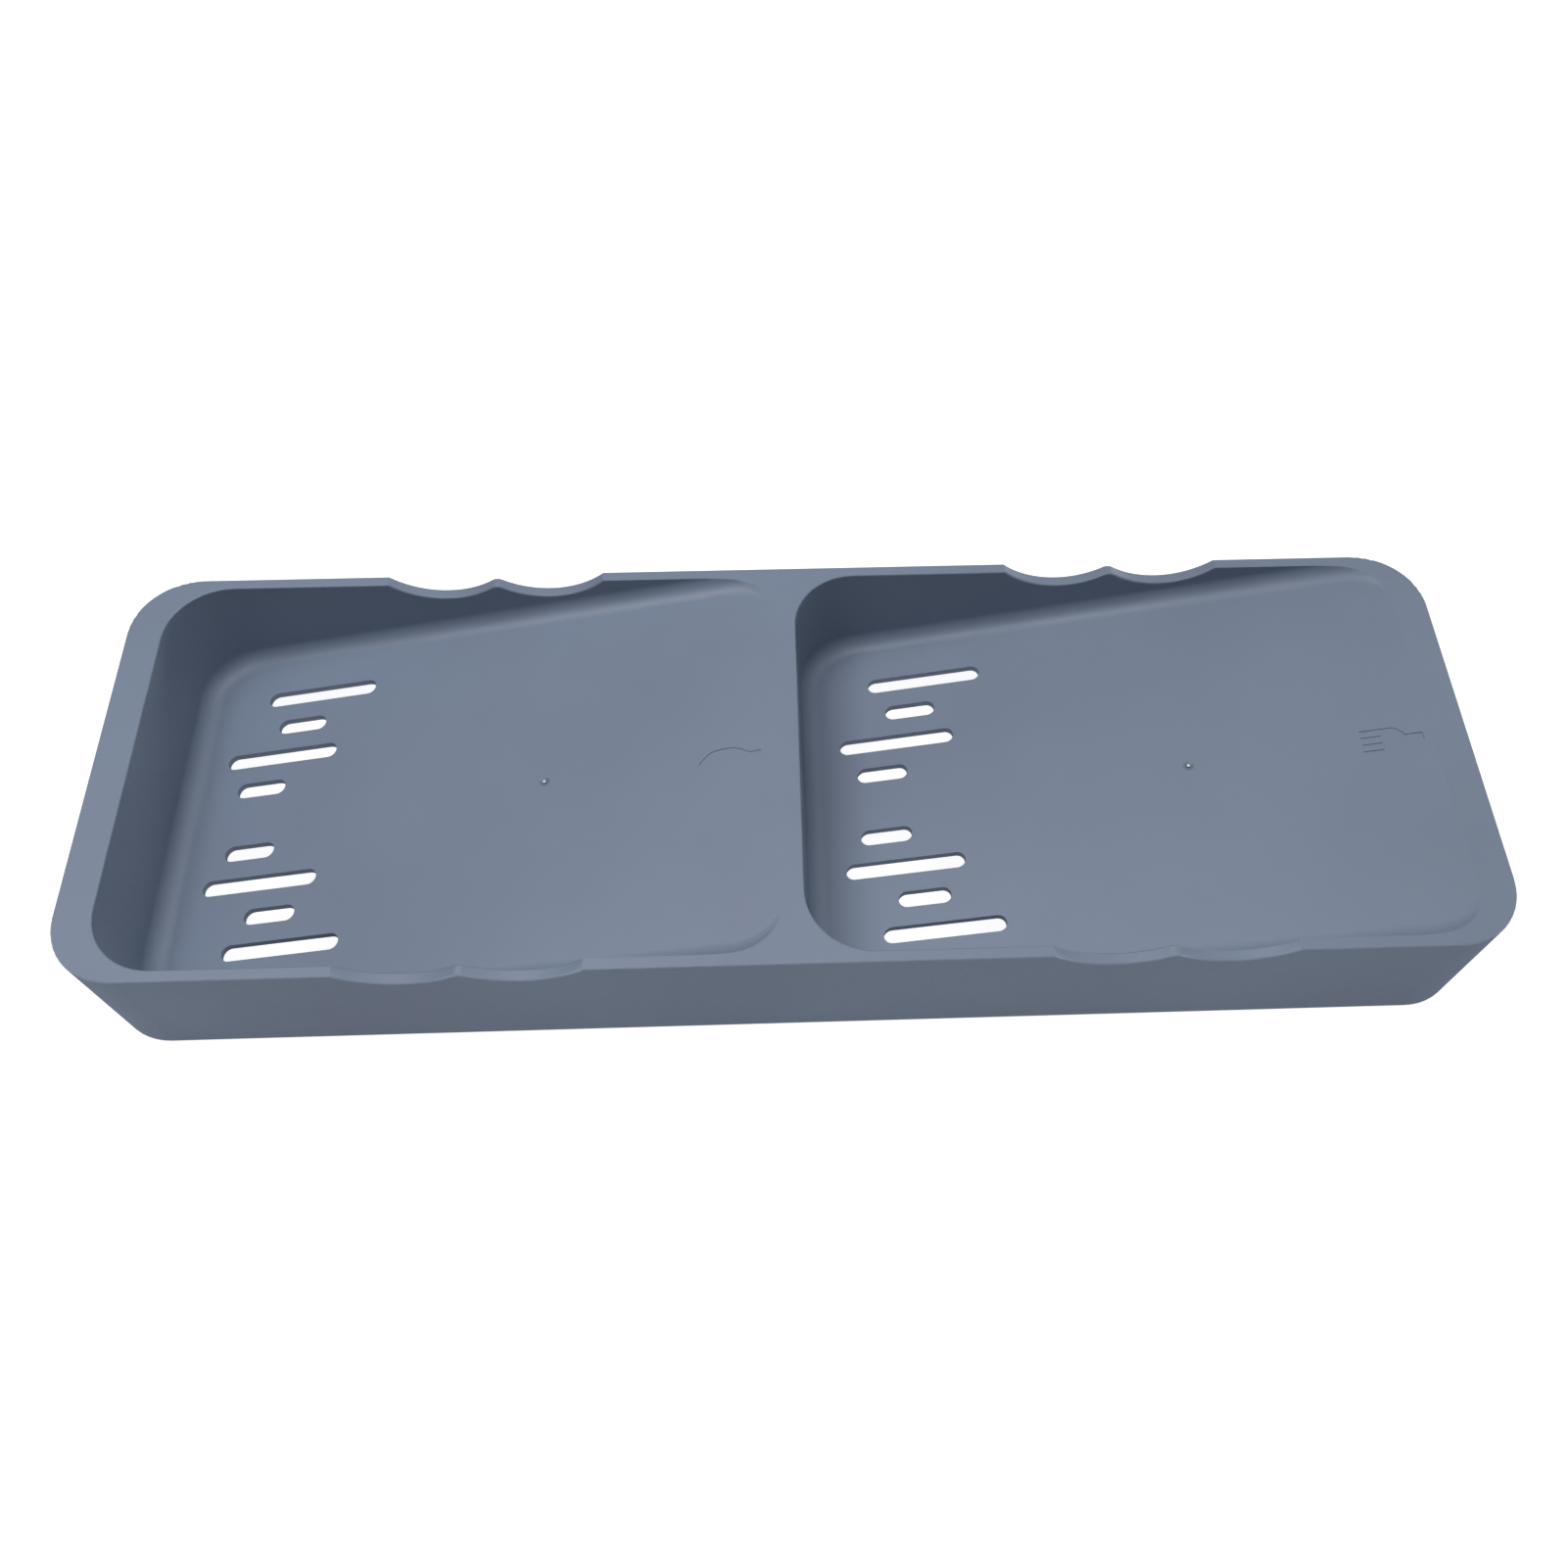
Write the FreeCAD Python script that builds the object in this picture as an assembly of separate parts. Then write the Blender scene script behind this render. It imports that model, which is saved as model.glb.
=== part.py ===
import FreeCAD, Part
import math
import os

# Whole tray, in millimetres and degrees
tray_length = 400.0
tray_width = 137.0
tray_depth = 44.0
corner_radius = 20.0
skirt_draft_angle = 2.6
wall = 2.2

# Rim widths seen from above, and the rounding of its edges
side_rim = 3.5
end_rim = 10.5
divider_rim = 6.5
rim_round = 0.5

# Compartments, whose floors climb from a deep wall up to the rim
deep_floor_height = 7.0
pocket_corner_radius = 19.0
pocket_draft_angle = 3.0
floor_fillet = 5.0

# Drain slots, long and short in turn, stepping towards the deep wall
slot_width = 5.2
long_slot_length = 35.5
short_slot_length = 15.5
slot_pitch = 11.25
slot_step = 5.0
slot_offset = 41.3
slots_per_side = 4

# Finger scallops, a pair per compartment in both long walls
scallop_radius = 26.5
scallop_depth = 6.4
scallop_pitch = 32.0
scallop_offset = 99.8
scallop_crest_radius = 3.0

# Sunk pictograms
icon_depth = 0.3
knife_icon_offset = 172.4
knife_icon_length = 18.8
knife_icon_height = 4.7
fork_icon_offset = 175.0
fork_icon_length = 17.6
fork_icon_height = 8.3
fork_tines = 4

# Gate marks left by the moulding
gate_offset = 116.9
gate_diameter = 3.4
gate_depth = 0.35
gate_nub_diameter = 1.2

# Soft feet and the tubular bosses that hold their stems
foot_inset_x = 22.0
foot_inset_y = 18.5
foot_diameter = 12.0
foot_pad_height = 2.0
foot_proud = 1.0
foot_round = 0.5
boss_diameter = 9.0
socket_diameter = 5.0
stem_clearance = 0.1
stem_length = 4.0

# Overrun of every cutting tool past what it cuts
overrun = 20.0

# Heights and runs worked out from the sizes above
base_z = foot_proud
rim_z = base_z + tray_depth
pocket_length = (tray_length - 2 * end_rim - divider_rim) / 2
pocket_half_width = tray_width / 2 - side_rim
floor_slope = (tray_depth - deep_floor_height) / pocket_length
knife_deep_wall = -tray_length / 2 + end_rim
fork_deep_wall = divider_rim / 2
deep_walls = (knife_deep_wall, fork_deep_wall)
scallop_half_chord = math.sqrt(scallop_radius ** 2 - (scallop_radius - scallop_depth) ** 2)
scallop_half_span = scallop_pitch / 2 + scallop_half_chord

Vector = FreeCAD.Vector
up = Vector(0, 0, 1)
across = Vector(0, 1, 0)


def floor_z(x, deep_wall):
    """Height of a compartment's floor plane at x."""
    return base_z + deep_floor_height + floor_slope * (x - deep_wall)


def rounded_rectangle(x_low, x_high, half_width, radius, z):
    """Level wire of four lines and four quarter arcs."""
    corners = (
        (x_high - radius, half_width - radius, 0),
        (x_low + radius, half_width - radius, 90),
        (x_low + radius, radius - half_width, 180),
        (x_high - radius, radius - half_width, 270),
    )
    arcs = []
    for x, y, start in corners:
        circle = Part.Circle(Vector(x, y, z), up, radius)
        arcs.append(Part.Arc(circle, math.radians(start), math.radians(start + 90)).toShape())
    lines = []
    for arc, following in zip(arcs, arcs[1:] + arcs[:1]):
        lines.append(Part.makeLine(arc.lastVertex().Point, following.firstVertex().Point))
    return Part.Wire([edge for pair in zip(arcs, lines) for edge in pair])


def lines_through(points):
    """Straight edges from each point to the next."""
    return [Part.makeLine(a, b) for a, b in zip(points, points[1:])]


def drafted_block(x_low, x_high, half_width, z_low, z_high, draft_angle, radius):
    """Rounded block of the given size at rim height, leaning in towards its foot."""
    lean = math.tan(math.radians(draft_angle))
    rings = []
    for z in (z_low, z_high):
        out = lean * (z - rim_z)
        rings.append(rounded_rectangle(x_low - out, x_high + out, half_width + out, radius + out, z))
    return Part.makeLoft(rings, True, True)


def prism_across(points):
    """Straight-sided prism through the whole width, from points (x, z)."""
    reach = tray_width / 2 + overrun
    outline = Part.makePolygon([Vector(x, -reach, z) for x, z in points + points[:1]])
    return Part.Face(outline).extrude(across * 2 * reach)


def pocket(deep_wall, grow):
    """Space of one compartment, grown all round by a wall for its underside."""
    x_low = deep_wall - grow
    x_high = deep_wall + pocket_length + floor_fillet + grow
    top = rim_z + overrun
    space = drafted_block(x_low, x_high, pocket_half_width + grow, base_z, top,
                          pocket_draft_angle, pocket_corner_radius + grow)
    drop = grow * math.hypot(1, floor_slope)
    ends = (x_low - overrun, x_high + overrun)
    slope_line = [(x, floor_z(x, deep_wall) - drop) for x in ends]
    below = [(ends[1], -tray_depth), (ends[0], -tray_depth)]
    space = space.cut(prism_across(slope_line + below))
    floor_edges = []
    for edge in space.Edges:
        heights = [v.Z - floor_z(v.X, deep_wall) + drop for v in edge.Vertexes]
        if max(abs(h) for h in heights) < rim_round:
            floor_edges.append(edge)
    return space.makeFillet(floor_fillet + grow, floor_edges)


def foot_places():
    """Names and centres of the four feet."""
    x = tray_length / 2 - foot_inset_x
    y = tray_width / 2 - foot_inset_y
    return {
        "foot_front_left": (-x, -y),
        "foot_front_right": (x, -y),
        "foot_rear_left": (-x, y),
        "foot_rear_right": (x, y),
    }


def upright(diameter, x, y, z_low, z_high):
    """Upright cylinder between two heights."""
    return Part.makeCylinder(diameter / 2, z_high - z_low, Vector(x, y, z_low), up)


def underside():
    """Hollow under the floors, less the tubes that the feet plug into."""
    hollow = drafted_block(wall - tray_length / 2, tray_length / 2 - wall, tray_width / 2 - wall,
                           base_z - overrun, rim_z - wall, skirt_draft_angle, corner_radius - wall)
    for deep_wall in deep_walls:
        hollow = hollow.cut(pocket(deep_wall, wall))
    for x, y in foot_places().values():
        boss = upright(boss_diameter, x, y, foot_pad_height, rim_z)
        bore = upright(socket_diameter, x, y, foot_pad_height, rim_z)
        hollow = hollow.cut(boss.cut(bore))
    return hollow


def scallops(deep_wall):
    """Two finger dips side by side with a rounded crest between them."""
    centre = deep_wall + scallop_offset
    swing = scallop_pitch / 2
    hub_z = rim_z - scallop_depth + scallop_radius
    reach = scallop_radius + scallop_crest_radius
    crest_hub_z = hub_z - math.sqrt(reach ** 2 - swing ** 2)
    crest_share = scallop_radius / reach
    front = -tray_width / 2 - overrun

    def at(x, z):
        return Vector(centre + x, front, z)

    touch_x = swing * (1 - crest_share)
    touch_z = hub_z + crest_share * (crest_hub_z - hub_z)
    bottom = rim_z - scallop_depth
    touch = [at(-touch_x, touch_z), at(touch_x, touch_z)]
    crest = at(0, crest_hub_z + scallop_crest_radius)
    ends = [at(-scallop_half_span, rim_z), at(scallop_half_span, rim_z)]
    above = [end + up * overrun for end in ends]
    edges = [
        Part.Arc(ends[0], at(-swing, bottom), touch[0]).toShape(),
        Part.Arc(touch[0], crest, touch[1]).toShape(),
        Part.Arc(touch[1], at(swing, bottom), ends[1]).toShape(),
    ]
    edges += lines_through([ends[1], above[1], above[0], ends[0]])
    return Part.Face(Part.Wire(edges)).extrude(across * (tray_width + 2 * overrun))


def is_steep(axis):
    """True for a direction nearer level than upright."""
    return abs(axis.z) < math.hypot(axis.x, axis.y)


def is_rim_face(face):
    """True for the level rim and for the scallops' round faces."""
    box = face.BoundBox
    if isinstance(face.Surface, Part.Cylinder):
        return is_steep(face.Surface.Axis) and box.ZMin > rim_z - 2 * scallop_depth
    return box.ZMin > rim_z - rim_round and box.ZLength < rim_round


def is_wall_face(face):
    """True for the steep sides of the skirt and the compartments."""
    if isinstance(face.Surface, Part.Plane):
        return is_steep(face.Surface.Axis)
    return isinstance(face.Surface, Part.Cone)


def beyond_scallops(edge):
    """True on a compartment's own edge between its scallops and its shallow end."""
    middle = edge.CenterOfMass
    in_line = abs(middle.y) < pocket_half_width + rim_round
    for deep_wall in deep_walls:
        run = middle.x - deep_wall
        if in_line and scallop_offset + scallop_half_span < run < pocket_length:
            return True
    return False


def round_rim(body):
    """Round the rim's edges, but for those that fade into a floor's shallow end."""
    edges = []
    for edge in body.Edges:
        sides = body.ancestorsOfType(edge, Part.Face)
        if any(is_rim_face(f) for f in sides) and any(is_wall_face(f) for f in sides):
            if not beyond_scallops(edge):
                edges.append(edge)
    return body.makeFillet(rim_round, edges)


def slot(x, y, length):
    """Upright slot with round ends, lying along the tray."""
    radius = slot_width / 2
    run = length - slot_width
    starts = [Vector(x + side * run / 2, y, base_z) for side in (-1, 1)]
    ends = [Part.makeCylinder(radius, tray_depth, start, up) for start in starts]
    corner = starts[0] - across * radius
    middle = Part.makeBox(run, slot_width, tray_depth, corner)
    return middle.fuse(ends).removeSplitter()


def drain_slots(deep_wall):
    """Both halves of the stepped row of slots, open at the middle."""
    cutters = []
    for k in range(slots_per_side):
        length = short_slot_length if k % 2 else long_slot_length
        x = deep_wall + slot_offset - k * slot_step
        y = slot_pitch * (slots_per_side - k)
        cutters.append(slot(x, -y, length))
        cutters.append(slot(x, y, length))
    return cutters


def on_floor(shape, offset, deep_wall):
    """The shape, drawn about the origin, laid on the floor at an offset from the deep wall."""
    x = deep_wall + offset
    turn = FreeCAD.Rotation(across, -math.degrees(math.atan(floor_slope)))
    shape.Placement = FreeCAD.Placement(Vector(x, 0, floor_z(x, deep_wall)), turn)
    return shape


def sunk(edges):
    """Flat-bottomed recess inside a closed outline drawn on the floor."""
    area = Part.Face(Part.Wire(edges))
    area.translate(up * -icon_depth)
    return area.extrude(up * 2 * icon_depth)


def knife_icon():
    """Knife: a curved back from the tip to the neck, a stub of handle and a straight edge.

    The tray's centre line crosses it at the axis share of its height.
    """
    blade_shares = ((0.0, 0.0), (0.085, 0.42), (0.19, 0.8), (0.35, 0.98), (0.57, 0.98), (0.73, 0.74))
    neck_share = (0.82, 0.54)
    handle_shares = ((1.0, 0.58), (1.0, 0.12), (0.0, 0.0))
    axis_share = 0.36

    def at(shares):
        along, upward = shares
        return Vector((along - 1 / 2) * knife_icon_length, (upward - axis_share) * knife_icon_height, 0)

    neck = at(neck_share)
    back = Part.BSplineCurve()
    back.interpolate([at(shares) for shares in blade_shares] + [neck])
    return sunk([back.toShape()] + lines_through([neck] + [at(shares) for shares in handle_shares]))


def fork_icon():
    """Fork: a comb of tines, a head that rounds off to the neck and a stub of handle."""
    root_share = 0.33
    head_shares = ((0.54, 1.0), (0.65, 0.72), (0.72, 0.32))
    half = fork_icon_height / 2
    tip = -fork_icon_length / 2
    root = tip + root_share * fork_icon_length
    tine = fork_icon_height / (2 * fork_tines - 1)
    comb = []
    for k in range(fork_tines):
        low = 2 * k * tine - half
        corners = ((root, low), (tip, low), (tip, low + tine), (root, low + tine))
        comb += [Vector(x, y, 0) for x, y in corners]
    upper = [Vector(tip + along * fork_icon_length, outward * half, 0) for along, outward in head_shares]
    lower = [Vector(p.x, -p.y, 0) for p in upper]
    front = [lower[0]] + comb[1:-1] + [upper[0]]
    handle = [upper[-1], Vector(-tip, upper[-1].y, 0), Vector(-tip, lower[-1].y, 0), lower[-1]]
    arcs = [Part.Arc(*points).toShape() for points in (upper, lower)]
    return sunk(Part.sortEdges(lines_through(front) + lines_through(handle) + arcs)[0])


def gate_mark():
    """Shallow round dish with a nub standing in its middle."""
    dish_radius = (gate_diameter ** 2 / 4 + gate_depth ** 2) / (2 * gate_depth)
    dish = Part.makeSphere(dish_radius, up * (dish_radius - gate_depth))
    return dish.cut(Part.makeSphere(gate_nub_diameter / 2, up * -gate_depth))


def tray_body():
    """The one-piece moulding."""
    body = drafted_block(-tray_length / 2, tray_length / 2, tray_width / 2,
                         base_z, rim_z, skirt_draft_angle, corner_radius)
    for deep_wall in deep_walls:
        body = body.cut(pocket(deep_wall, 0))
        body = body.cut(scallops(deep_wall))
    body = round_rim(body).cut(underside())
    cutters = []
    for deep_wall in deep_walls:
        cutters += drain_slots(deep_wall)
        cutters.append(on_floor(gate_mark(), gate_offset, deep_wall))
    cutters.append(on_floor(knife_icon(), knife_icon_offset, knife_deep_wall))
    cutters.append(on_floor(fork_icon(), fork_icon_offset, fork_deep_wall))
    return body.cut(cutters)


def foot(x, y):
    """Soft pad with a stem that plugs into the boss above it."""
    pad = upright(foot_diameter, x, y, 0, foot_pad_height)
    stem_diameter = socket_diameter - 2 * stem_clearance
    stem_top = foot_pad_height + stem_length
    piece = pad.fuse(upright(stem_diameter, x, y, foot_pad_height, stem_top)).removeSplitter()
    tips = []
    for edge in piece.Edges:
        z = edge.CenterOfMass.z
        if edge.Closed and (z < foot_round or z > stem_top - foot_round):
            tips.append(edge)
    return piece.makeFillet(foot_round, tips)


os.makedirs("parts", exist_ok=True)
pieces = {"tray_body": tray_body()}
for name, (x, y) in foot_places().items():
    pieces[name] = foot(x, y)
for name, shape in pieces.items():
    shape.exportStep("parts/" + name + ".step")
    print(name, "valid", shape.isValid(), "solids", len(shape.Solids), "volume", round(shape.Volume, 1))
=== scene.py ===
import math

import bpy
import numpy as np
from mathutils import Matrix, Vector

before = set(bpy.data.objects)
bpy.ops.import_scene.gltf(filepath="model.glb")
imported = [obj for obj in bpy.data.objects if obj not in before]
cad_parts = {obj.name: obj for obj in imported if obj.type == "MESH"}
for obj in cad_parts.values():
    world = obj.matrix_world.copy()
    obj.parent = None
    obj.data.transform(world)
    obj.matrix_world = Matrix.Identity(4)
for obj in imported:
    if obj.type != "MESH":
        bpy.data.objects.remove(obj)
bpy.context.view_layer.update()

# Camera, as the photograph was taken: degrees, metres and pixels
camera_azimuth = -2.827
camera_elevation = 58.33
camera_roll = 0.975
camera_distance = 0.452836
camera_target = Vector((0.008689, 0.0, 0.018061))
focal_pixels = 1510.264
centre_pixels = (834.396, 814.511)
image_pixels = 1601
sensor_width_mm = 36.0

# Floor
floor_half_width = 4.0
floor_drop = 0.00005
floor_colour = (0.30, 0.30, 0.305, 1.0)
floor_glow_colour = (1.0, 1.0, 1.0, 1.0)
floor_glow = 0.92

# Square light panels that face the origin: name, place, side and power in watts
panels = (
    ("key", (-0.2, 0.0, 0.75), 0.5, 4.2),
    ("left_high", (-0.6, 0.0, 1.1), 1.0, 2.0),
    ("right_high", (0.6, 0.0, 1.1), 1.0, 4.0),
    ("rear_right", (0.4, 0.45, 0.9), 0.6, 0.5),
    ("rear_right_low", (0.9, 0.8, 0.2), 0.25, 2.6),
)

# Small panels below the rim's level, for the outer walls: name, place in plan and power
strip_height = 0.022
strip_side = 0.04
strips = (
    ("front_left_strip", (-0.85, -0.85), 1.4),
    ("front_right_strip", (0.85, -0.85), 0.7),
    ("left_strip", (-1.2, -0.1), 4.0),
    ("right_strip", (1.2, -0.1), 4.5),
)

# Sky, and the backdrop that stands in for it in the camera's eye
sky_colour = (0.95, 0.97, 1.0, 1.0)
sky_strength = 0.10
horizon_fade = 0.1
backdrop_colour = (1.0, 1.0, 1.0, 1.0)
backdrop_strength = 0.95

# Range that most values of a noise lie in
noise_range = (0.3, 0.7)

# Plastic of the tray: colours, sizes of its detail in metres, noise octaves and depth of its relief
slate_dark = (0.144, 0.177, 0.248, 1.0)
slate_light = (0.160, 0.202, 0.278, 1.0)
cloud_size = 0.09
cloud_octaves = 3.0
speckle_size = 0.0011
speckle_octaves = 2.0
speckle_range = (0.5, 0.75)
speckle_share = 0.12
satin_octaves = 4.0
satin_roughness = (0.46, 0.60)
grain_size = 0.0005
grain_octaves = 3.0
grain_depth = 0.000012

# Gate marks in the tray's floors: painted shade in a ring round each dish, and a painted highlight on the
# nub in its middle
gate_places = ((-0.0726, 0.0, 0.0312), (0.1202, 0.0, 0.0312))
nub_painted_highlight = (0.70, 0.75, 0.84, 1.0)
nub_highlight_radii = (0.0003, 0.0005)
ring_painted_shade = (0.116, 0.143, 0.200, 1.0)
ring_shade_radii = (0.0013, 0.0018)

# Elastomer of the feet
rubber_dark = (0.018, 0.020, 0.024, 1.0)
rubber_light = (0.034, 0.037, 0.043, 1.0)
rubber_grain_size = 0.0007
rubber_octaves = 4.0
rubber_grain_depth = 0.00003
rubber_roughness = (0.70, 0.86)


class NodeBoard:
    """Nodes of a material or of the sky, with short calls for those used here."""

    def __init__(self, block, coordinates):
        block.use_nodes = True
        self.nodes = block.node_tree.nodes
        self.links = block.node_tree.links
        self.place = self.add("ShaderNodeTexCoord").outputs[coordinates]

    def add(self, kind):
        return self.nodes.new(kind)

    def set(self, socket, value):
        """Link the value if it is a socket, or else store it on the socket."""
        if isinstance(value, bpy.types.NodeSocket):
            self.links.new(value, socket)
        else:
            socket.default_value = value

    def noise(self, size, octaves):
        """Noise whose lumps are about the given size across."""
        node = self.add("ShaderNodeTexNoise")
        self.set(node.inputs["Vector"], self.place)
        node.inputs["Scale"].default_value = 1.0 / size
        node.inputs["Detail"].default_value = octaves
        return node.outputs["Fac"]

    def distance(self, centre):
        """Distance of each place from a centre."""
        node = self.add("ShaderNodeVectorMath")
        node.operation = "DISTANCE"
        self.set(node.inputs[0], self.place)
        self.set(node.inputs[1], centre)
        return node.outputs["Value"]

    def span(self, value, before, after):
        """The value carried over in proportion from one range to another, and held at its ends."""
        node = self.add("ShaderNodeMapRange")
        keys = ("Value", "From Min", "From Max", "To Min", "To Max")
        for key, number in zip(keys, (value, *before, *after)):
            self.set(node.inputs[key], number)
        return node.outputs["Result"]

    def blend(self, share, first, second):
        """Colour between two colours."""
        node = self.add("ShaderNodeMix")
        node.data_type = "RGBA"
        for key, value in zip(("Factor_Float", "A_Color", "B_Color"), (share, first, second)):
            self.set(next(s for s in node.inputs if s.identifier == key), value)
        return next(s for s in node.outputs if s.identifier == "Result_Color")

    def bump(self, height, depth):
        """Normal of a relief of that depth in metres."""
        node = self.add("ShaderNodeBump")
        node.inputs["Strength"].default_value = 1.0
        node.inputs["Distance"].default_value = depth
        self.set(node.inputs["Height"], height)
        return node.outputs["Normal"]


def new_material(name):
    """Material, its node board and the sockets of its shader."""
    material = bpy.data.materials.new(name)
    board = NodeBoard(material, "Object")
    return material, board, board.nodes["Principled BSDF"].inputs


def slate_plastic():
    """Satin moulded plastic: clouded slate, fine pigment speckle, painted shade and a painted highlight
    at the gate marks, and a spark-eroded grain.
    """
    material, board, sockets = new_material("slate_plastic")
    cloud = board.span(board.noise(cloud_size, cloud_octaves), noise_range, (0.0, 1.0))
    clouded = board.blend(cloud, slate_dark, slate_light)
    speckle = board.span(board.noise(speckle_size, speckle_octaves), speckle_range, (0.0, speckle_share))
    colour = board.blend(speckle, clouded, slate_light)
    # Painted shade in a ring and a painted highlight on the nub at each gate mark
    for place in gate_places:
        away = board.distance(place)
        colour = board.blend(board.span(away, ring_shade_radii, (1.0, 0.0)), colour, ring_painted_shade)
        colour = board.blend(board.span(away, nub_highlight_radii, (1.0, 0.0)), colour, nub_painted_highlight)
    board.set(sockets["Base Color"], colour)
    satin = board.noise(speckle_size, satin_octaves)
    board.set(sockets["Roughness"], board.span(satin, noise_range, satin_roughness))
    board.set(sockets["Normal"], board.bump(board.noise(grain_size, grain_octaves), grain_depth))
    return material


def foot_elastomer():
    """Matte dark elastomer with a coarse grain."""
    material, board, sockets = new_material("foot_elastomer")
    mottle = board.span(board.noise(rubber_grain_size, rubber_octaves), noise_range, (0.0, 1.0))
    board.set(sockets["Base Color"], board.blend(mottle, rubber_dark, rubber_light))
    board.set(sockets["Roughness"], board.span(mottle, (0.0, 1.0), rubber_roughness))
    board.set(sockets["Normal"], board.bump(mottle, rubber_grain_depth))
    return material


def dress(node_names, material):
    """Give CAD nodes the material in every slot they have."""
    for name in node_names:
        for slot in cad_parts[name].material_slots:
            slot.material = material


def pale_floor():
    """Square floor just under the feet: matte, glowing white and unseen in reflections."""
    corners = floor_half_width * np.array([(-1, -1, 0), (1, -1, 0), (1, 1, 0), (-1, 1, 0)], float)
    corners[:, 2] = -floor_drop
    mesh = bpy.data.meshes.new("floor")
    mesh.from_pydata(corners.tolist(), [], [(0, 1, 2, 3)])
    material, _, sockets = new_material("pale_floor")
    sockets["Base Color"].default_value = floor_colour
    sockets["Roughness"].default_value = 1.0
    sockets["Specular IOR Level"].default_value = 0.0
    sockets["Emission Color"].default_value = floor_glow_colour
    sockets["Emission Strength"].default_value = floor_glow
    mesh.materials.append(material)
    floor = bpy.data.objects.new("floor", mesh)
    floor.visible_glossy = False
    bpy.context.scene.collection.objects.link(floor)


def light_panel(name, place, side, power):
    """Square panel of light that faces the origin."""
    light = bpy.data.lights.new(name, "AREA")
    light.size = side
    light.energy = power
    lamp = bpy.data.objects.new(name, light)
    place = Vector(place)
    turn = (-place).to_track_quat("-Z", "Y")
    lamp.matrix_world = Matrix.Translation(place) @ turn.to_matrix().to_4x4()
    bpy.context.scene.collection.objects.link(lamp)


def soft_light():
    """Panels and low strips round the tray."""
    for name, place, side, power in panels:
        light_panel(name, place, side, power)
    for name, (x, y), power in strips:
        light_panel(name, (x, y, strip_height), strip_side, power)


def pale_sky():
    """Faint sky that fades out below the horizon, behind a bright backdrop that only the camera sees."""
    world = bpy.data.worlds.new("sky")
    board = NodeBoard(world, "Generated")
    direction = board.add("ShaderNodeSeparateXYZ")
    board.set(direction.inputs["Vector"], board.place)
    sky_light = board.span(direction.outputs["Z"], (-horizon_fade, horizon_fade), (0.0, sky_strength))
    sky = board.nodes["Background"]
    backdrop = board.add("ShaderNodeBackground")
    shades = ((sky, sky_colour, sky_light), (backdrop, backdrop_colour, backdrop_strength))
    for background, colour, strength in shades:
        background.inputs["Color"].default_value = colour
        board.set(background.inputs["Strength"], strength)
    either = board.add("ShaderNodeMixShader")
    path = board.add("ShaderNodeLightPath")
    board.set(either.inputs["Fac"], path.outputs["Is Camera Ray"])
    board.set(either.inputs[1], sky.outputs["Background"])
    board.set(either.inputs[2], backdrop.outputs["Background"])
    board.set(board.nodes["World Output"].inputs["Surface"], either.outputs["Shader"])
    bpy.context.scene.world = world


def photo_camera():
    """Camera on a sphere round the target, rolled about its own axis, with the photo's centre shifted."""
    azimuth, elevation, roll = (math.radians(a) for a in (camera_azimuth, camera_elevation, camera_roll))
    back = Vector((
        math.sin(azimuth) * math.cos(elevation),
        -math.cos(azimuth) * math.cos(elevation),
        math.sin(elevation),
    ))
    level = Vector((0, 0, 1)).cross(back).normalized()
    rise = back.cross(level)
    right = level * math.cos(roll) + rise * math.sin(roll)
    above = rise * math.cos(roll) - level * math.sin(roll)
    data = bpy.data.cameras.new("camera")
    data.sensor_width = sensor_width_mm
    data.lens = sensor_width_mm * focal_pixels / image_pixels
    data.shift_x = 1 / 2 - centre_pixels[0] / image_pixels
    data.shift_y = centre_pixels[1] / image_pixels - 1 / 2
    camera = bpy.data.objects.new("camera", data)
    turn = Matrix((right, above, back)).transposed().to_4x4()
    camera.matrix_world = Matrix.Translation(camera_target + back * camera_distance) @ turn
    bpy.context.scene.collection.objects.link(camera)
    bpy.context.scene.camera = camera


dress(["tray_body"], slate_plastic())
dress([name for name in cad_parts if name.startswith("foot")], foot_elastomer())
pale_floor()
soft_light()
pale_sky()
photo_camera()
bpy.context.scene.view_settings.view_transform = "Standard"
